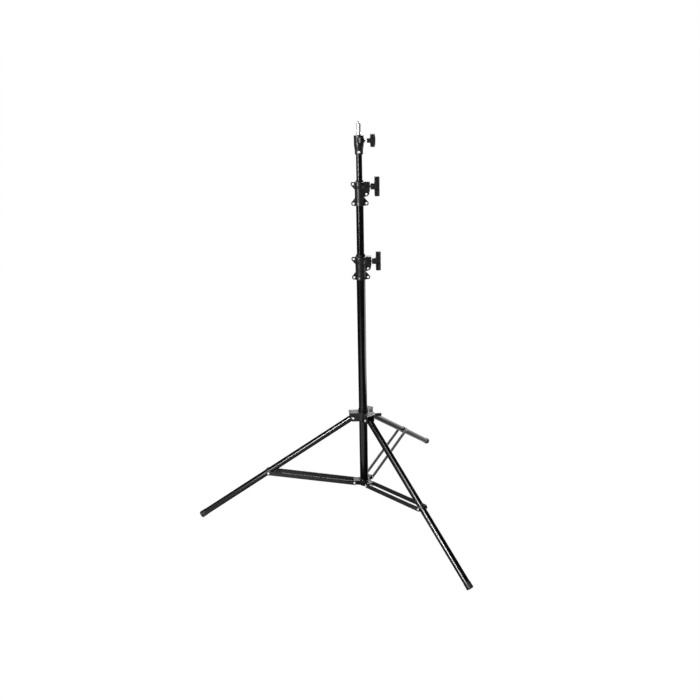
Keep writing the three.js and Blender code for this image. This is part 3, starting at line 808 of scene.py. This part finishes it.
def build_leg_hub():
    place = raised(LEG_PIN_Z)
    piece("leg_fork_hub", leg_hub(), place, "hub", "casting", ["leg_hub"], sharp=0)
    piece("hub_guide_bush", plain(hub_bush()), place, "hub", "nylon", ["hub_bush"])


def build_hub_lock():
    axis = raised(LEG_PIN_Z + HUB_SCREW_Z)
    low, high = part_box("hub_lock_knob")
    start, end = (low.x - COLUMN_X) / MM, (high.x - COLUMN_X) / MM
    r = 6.5
    grip = turned([
        (0, start), (r - 2, start), (r - 1, start + 1.5), (r - 1, start + 5), (r, start + 6.5),
        (r, end - 1.5), (r - 1.5, end), (0, end),
    ], SEGMENTS, 0.6)

    def flute():
        return moved(rod(0.9, start + 7, end + 1, 16, 0.4), Matrix.Translation((r + 0.25, 0, 0)))

    cut = [rod(PIN_R + GAP, start - 1, LOCK_SCREW_END + GAP, 32), *about(flute, range(0, 360, 20))]
    knob = combined(grip, cut=cut)
    knob.transform(Matrix.Rotation(math.pi / 2, 4, "Y"))
    piece("hub_lock_grip", knob, axis, "hub_knob", "knob", ["hub_lock_knob"])
    span = (BASE_R + GAP, LOCK_SCREW_END)
    screw = ["hub_lock_screw"]
    build_screw("hub_lock_thread", PIN_R, *span, FINE_PITCH, axis, "hub_knob", screw)


def bottom_hub():
    """The bottom hub seen from the level of the brace pins: a ring with three forked tongues."""
    low, tongue_r, half = -12.5, 9.5, 16.2
    tongue = [
        Vector((HUB_ROOT, low + 0.5)), Vector((34, -tongue_r)), *arc(PIN_CIRCLE, 0, tongue_r, -90, 90),
        Vector((HUB_ROOT, tongue_r)),
    ]
    pocket = softened([
        (30, low - 5, 0), (PIN_CIRCLE + 20, low - 5, 0), (PIN_CIRCLE + 20, 5, 0), (30, 5, 3),
    ], 0)
    azimuths = list(LEG_AZIMUTHS.values())
    cut = [
        rod(BASE_R + GAP, low - 5, 60, SEGMENTS, 0),
        *about(lambda: prism(pocket, 6 - half, half - 6), azimuths),
        *about(lambda: along_y(rod(PIN_R + GAP, -25, 25, 32), PIN_CIRCLE), azimuths),
    ]
    shell = ring(15.5, BOTTOM_HUB_R, low, tongue_r + 1.5, SEGMENTS, 1.5)
    tongues = about(lambda: prism(tongue, -half, half), azimuths)
    return combined(shell, tongues, cut, grain=0.6, keep=0.4)


def build_bottom_hub():
    piece("brace_hub", bottom_hub(), raised(BRACE_PIN_Z), "root", "casting", ["bottom_hub"], sharp=0)


# ---- legs and braces ----------------------------------------------------------------------

BAR_WIDTH, BAR_THICKNESS, BAR_INNER = 19, 3, 16.5
BAR_OUTER = BAR_INNER + BAR_THICKNESS
CAP_R, CAP_LENGTH, CAP_END = 14, 24, 4
CAP_GROOVES = (7, 12)  # up from the cap's end
PLUG_LOW, PLUG_TOP = -34, 5.5
CLIP_WALL, CLIP_HALF, CLIP_BOSS_R = 1.3, 8, 7.2


def double_pin(inner):
    """A pin along Y with a domed head at each end."""
    face = inner + GAP
    end = face + PIN_HEAD
    half = [
        (PIN_R, face, 0), (PIN_HEAD_R, face, 0.2), (PIN_HEAD_R, end - 1.2), (3.4, end - 0.25, 1),
        (1.6, end, 1),
    ]
    low = [(p[0], -p[1], *p[2:]) for p in reversed(half)]
    return along_y(turned([(0, -end), *low, *half, (0, end)], 40, 0.3))


def bar_rivet(side):
    end = BAR_OUTER + GAP + PIN_HEAD
    rivet = turned([
        (0, BAR_INNER + 0.1), (PIN_R, BAR_INNER + 0.1), (PIN_R, BAR_OUTER + GAP, 0),
        (PIN_HEAD_R, BAR_OUTER + GAP, 0.2), (PIN_HEAD_R, end - 1.2), (3.4, end - 0.25, 1),
        (1.6, end, 1), (0, end),
    ], 40, 0.3)
    return along_y(rivet, 0, BRACE_LENGTH, flip=side < 0)


def leg_clip():
    centre = -BRACE_DISTANCE
    half = BAR_INNER - GAP
    band = ring(LEG_R - 3, LEG_R + CLIP_WALL, centre - CLIP_HALF, centre + CLIP_HALF, SEGMENTS, 0.5)
    boss = along_y(rod(CLIP_BOSS_R, -half, half, 64, 0.6), 0, centre)
    bore = rod(LEG_R + GAP, centre - 20, centre + 20, SEGMENTS, 0)
    return combined(band, [boss], [bore], grain=0.45, keep=0.4)


def foot_cap():
    """A thin rubber cap with two grip rings, worn flat where it meets the floor."""
    end = -LEG_REACH
    bore, groove = LEG_R + GAP, CAP_R - 0.35
    profile = [(0, end), (CAP_R - 1, end), (CAP_R, end + 1)]
    for z in (end + up for up in CAP_GROOVES):
        profile += [(CAP_R, z), (groove, z + 0.5), (groove, z + 1.6), (CAP_R, z + 2.1)]
    profile += [
        (CAP_R, end + CAP_LENGTH), (bore, end + CAP_LENGTH), (bore, end + CAP_END), (0, end + CAP_END),
    ]
    cap = turned(profile, SEGMENTS, 0.3, 2)
    ground = rectangle(-900, -LEG_PIN_Z - 80, 900, -LEG_PIN_Z)
    slab = moved(prism(ground, -60, 60), Matrix.Rotation(LEG_ANGLE, 4, "Y"))
    return combined(cap, cut=[slab])


def leg_tube():
    """The leg's tube, with a ring of edges that keeps the pin hole's facets near its end."""
    low, band, high, bore = CAP_END + GAP - LEG_REACH, -8, 6, LEG_R - WALL
    return turned([
        (bore, low), (LEG_R, low), (LEG_R, band, 0), (LEG_R, high), (bore, high), (bore, band, 0),
    ], SEGMENTS, 0.4)


def build_leg(number):
    place, body = leg_frame(number), f"leg_{number}"
    pin_hole = along_y(rod(PIN_R + GAP, -20, 20, 32, 0))
    tube = combined(leg_tube(), cut=[pin_hole])
    piece(f"leg_{number}_tube", tube, place, body, "tube", [f"leg_tube_{number}"])
    plug_r = LEG_R - WALL - GAP
    plug = combined(turned([
        (0, PLUG_LOW), (plug_r, PLUG_LOW), (plug_r, PLUG_TOP), (plug_r - 3, PLUG_TOP), (plug_r - 4, 4),
        (0, 4),
    ], 64), cut=[along_y(rod(PIN_R + GAP, -20, 20, 32, 0))])
    piece(f"leg_{number}_end_plug", plug, place, body, "nylon", [f"leg_insert_{number}"])
    clip = [f"leg_clip_{number}"]
    piece(f"leg_{number}_brace_clip", leg_clip(), place, body, "casting", clip, sharp=0)
    piece(f"leg_{number}_foot", foot_cap(), place, body, "rubber", [f"foot_cap_{number}"])
    pin_place = arm(number, LEG_PIN_Z, 0)
    pin = plain(double_pin(EAR_OUTER))
    piece(f"leg_{number}_hinge_pin", pin, pin_place, "hub", "steel", [f"leg_pin_{number}"])


def brace_bar(low, high):
    r = BAR_WIDTH / 2
    outline = arc(0, 0, r, 180, 360, 16) + arc(0, BRACE_LENGTH, r, 0, 180, 16)
    holes = [along_y(rod(PIN_R + GAP, -30, 30, 32, 0), 0, z) for z in (0, BRACE_LENGTH)]
    return combined(prism(outline, low, high, 0.5, 2), cut=holes)


def build_brace(number):
    place, body = brace_frame(number), f"brace_{number}"
    for letter, side in (("a", 1), ("b", -1)):
        low, high = sorted((side * BAR_INNER, side * BAR_OUTER))
        which = f"{number}{letter}"
        piece(f"brace_{which}_strap", brace_bar(low, high), place, body, "bar", [f"brace_bar_{which}"])
        rivet = plain(bar_rivet(side))
        piece(f"brace_{which}_rivet", rivet, place, body, "steel", [f"brace_rivet_{which}"])
    pin_place = arm(number, BRACE_PIN_Z, 0)
    pin = plain(double_pin(BAR_OUTER))
    piece(f"brace_{number}_hinge_pin", pin, pin_place, "root", "steel", [f"brace_pin_{number}"])


build_tubes()
build_bottom_plug()
build_collar("lower", "root", "lower_knob", LOWER_COLLAR)
build_collar("upper", "mid_section", "upper_knob", UPPER_COLLAR)
build_socket()
build_leg_hub()
build_hub_lock()
build_bottom_hub()
for leg in LEG_AZIMUTHS:
    build_leg(leg)
    build_brace(leg)

# The pieces inside the tubes and collars are the CAD nodes themselves.
HIDDEN = {
    "mid_foot_bush": "nylon",
    "top_foot_bush": "nylon",
    "lower_clamp_pad": "brass",
    "upper_clamp_pad": "brass",
}
for node, slot in HIDDEN.items():
    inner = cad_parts[node]
    inner.data.materials.clear()
    inner.data.materials.append(FINISHES[slot])
    inner.modifiers.new("worn_edges", "BEVEL").width = 0.3 * MM


# ---- studio -------------------------------------------------------------------------------

CAMERA_DISTANCE = 3.3085  # from the column's axis, along the floor
CAMERA_BEARING = -93.35  # degrees about the column
CAMERA_HEIGHT = 1.989
CAMERA_HEADING = 87.498
CAMERA_PITCH = -20.704
CAMERA_ROLL = -1.222
FOCAL_LENGTH = 45.08
SENSOR = 36
GLOW_DIRECTION = (68, -24)  # bearing and pitch of the brightest part of the room
GLOW_SPAN = (0.80, 1.0, 0.008, 1.7)  # cosines from it, and the light at each
SWEEP_R = 60000


def spherical(bearing, pitch):
    b, p = math.radians(bearing), math.radians(pitch)
    return Vector((math.cos(p) * math.cos(b), math.cos(p) * math.sin(b), math.sin(p)))


def build_camera():
    data = bpy.data.cameras.new("camera")
    data.lens, data.sensor_width, data.clip_end = FOCAL_LENGTH, SENSOR, 200
    camera = bpy.data.objects.new("camera", data)
    scene.collection.objects.link(camera)
    forward = spherical(CAMERA_HEADING, CAMERA_PITCH)
    right = forward.cross(Vector((0, 0, 1))).normalized()
    up = right.cross(forward)
    roll = math.radians(CAMERA_ROLL)
    tilted_right = right * math.cos(roll) + up * math.sin(roll)
    tilted_up = tilted_right.cross(forward)
    axes = Matrix((tilted_right, tilted_up, -forward)).transposed().to_4x4()
    spot = Vector((COLUMN_X, 0, CAMERA_HEIGHT)) + spherical(CAMERA_BEARING, 0) * CAMERA_DISTANCE
    camera.matrix_world = Matrix.Translation(spot) @ axes
    scene.camera = camera


def soft_box(name, bearing, distance, height, size, radiance, target):
    """A rectangular light on a circle round the column, facing a point given from its foot."""
    data = bpy.data.lights.new(name, "AREA")
    data.shape, data.size, data.size_y = "RECTANGLE", *size
    data.energy = radiance * math.pi * size[0] * size[1]
    light = bpy.data.objects.new(name, data)
    scene.collection.objects.link(light)
    light.location = Vector((COLUMN_X, 0, height)) + spherical(bearing, 0) * distance
    facing = Vector((COLUMN_X, 0, 0)) + Vector(target) - light.location
    light.rotation_euler = facing.to_track_quat("-Z", "Y").to_euler()
    light.visible_camera = False
    return light


def build_world():
    """A white room behind the stand and a darker one in front of it."""
    world = bpy.data.worlds.new("studio")
    scene.world = world
    world.use_nodes = True
    tree = world.node_tree
    nodes, links = tree.nodes, tree.links
    nodes.clear()
    where = nodes.new("ShaderNodeTexCoord")
    bright = nodes.new("ShaderNodeVectorMath")
    bright.operation = "DOT_PRODUCT"
    bright.inputs[1].default_value = spherical(*GLOW_DIRECTION)
    links.new(where.outputs["Generated"], bright.inputs[0])
    span = nodes.new("ShaderNodeMapRange")
    for socket, number in zip(span.inputs[1:5], GLOW_SPAN):
        socket.default_value = number
    links.new(bright.outputs["Value"], span.inputs["Value"])
    room = nodes.new("ShaderNodeBackground")
    links.new(span.outputs["Result"], room.inputs["Strength"])
    room.inputs["Color"].default_value = (1, 1, 1, 1)
    backdrop = nodes.new("ShaderNodeBackground")
    backdrop.inputs["Color"].default_value = (1, 1, 1, 1)
    backdrop.inputs["Strength"].default_value = 1.0
    path = nodes.new("ShaderNodeLightPath")
    mix = nodes.new("ShaderNodeMixShader")
    output = nodes.new("ShaderNodeOutputWorld")
    links.new(path.outputs["Is Camera Ray"], mix.inputs["Fac"])
    links.new(room.outputs["Background"], mix.inputs[1])
    links.new(backdrop.outputs["Background"], mix.inputs[2])
    links.new(mix.outputs["Shader"], output.inputs["Surface"])


def build_floor():
    """A plain pale sweep, bright enough to lose its horizon."""
    disc = turned([(0, -20), (SWEEP_R, -20), (SWEEP_R, 0), (0, 0)], 128, 0)
    mesh = plain(disc)
    mesh.transform(Matrix.Scale(MM, 4))
    floor = bpy.data.objects.new("studio_floor", mesh)
    scene.collection.objects.link(floor)
    f = Finish(
        "studio_floor", Specular_IOR_Level=0.0, Emission_Color=(1, 1, 1, 1), Emission_Strength=1.0
    )
    f.colour(f.noise(900, 2), (0.003, 0.003, 0.003), (0.005, 0.005, 0.005))
    f.roughness(f.spread(f.noise(400, 2), 0.3, 0.7, 0.8, 0.9))
    mesh.materials.append(f.material)
    floor.visible_glossy = False


STRIP_BEARING = -131
STRIP_DISTANCE = 2.4
STRIP_WIDTH = 0.2
STRIP = [  # low, high, radiance
    (2.6, 3.0, 10), (2.35, 2.6, 30), (2.1, 2.35, 64), (1.5, 2.1, 120), (0.95, 1.5, 50),
    (0.74, 0.95, 30), (0.62, 0.74, 10), (0.5, 0.62, 3),
]


def floor_panel(name, bearing, distance, size, radiance):
    """Light that comes up from a part of the floor: its width across, then its length outwards."""
    panel = soft_box(name, bearing, distance, 0.01, size, radiance, (0, 0, 0))
    panel.rotation_euler = (math.pi, 0, math.radians(bearing + 90))


def build_lights():
    """A tall strip to the left that fades towards the floor, a pale wall behind it, soft lights
    over and behind the stand, and the bright parts of the sweep."""
    for low, high, radiance in STRIP:
        size, z = (STRIP_WIDTH, high - low), (low + high) / 2
        soft_box("strip", STRIP_BEARING, STRIP_DISTANCE, z, size, radiance, (0, 0, z))
    soft_box("left_wall", -140, 2.7, 1.3, (3.0, 0.9), 0.9, (0, 0, 1.3))
    soft_box("overhead", 80, 2.4, 2.9, (2.6, 1.2), 20, (0, 0, 0.4))
    soft_box("key", -125, 2.4, 3.6, (0.8, 0.8), 16, (0, 0, 0.6))
    floor_panel("floor_left", -125, 1.5, (1.3, 2.2), 0.75)
    floor_panel("floor_bright", -109, 1.2, (0.25, 1.6), 0.6)
    floor_panel("floor_right", 12, 2.5, (2.2, 2.4), 3.0)


build_camera()
build_world()
build_floor()
build_lights()
scene.view_settings.view_transform = "Standard"
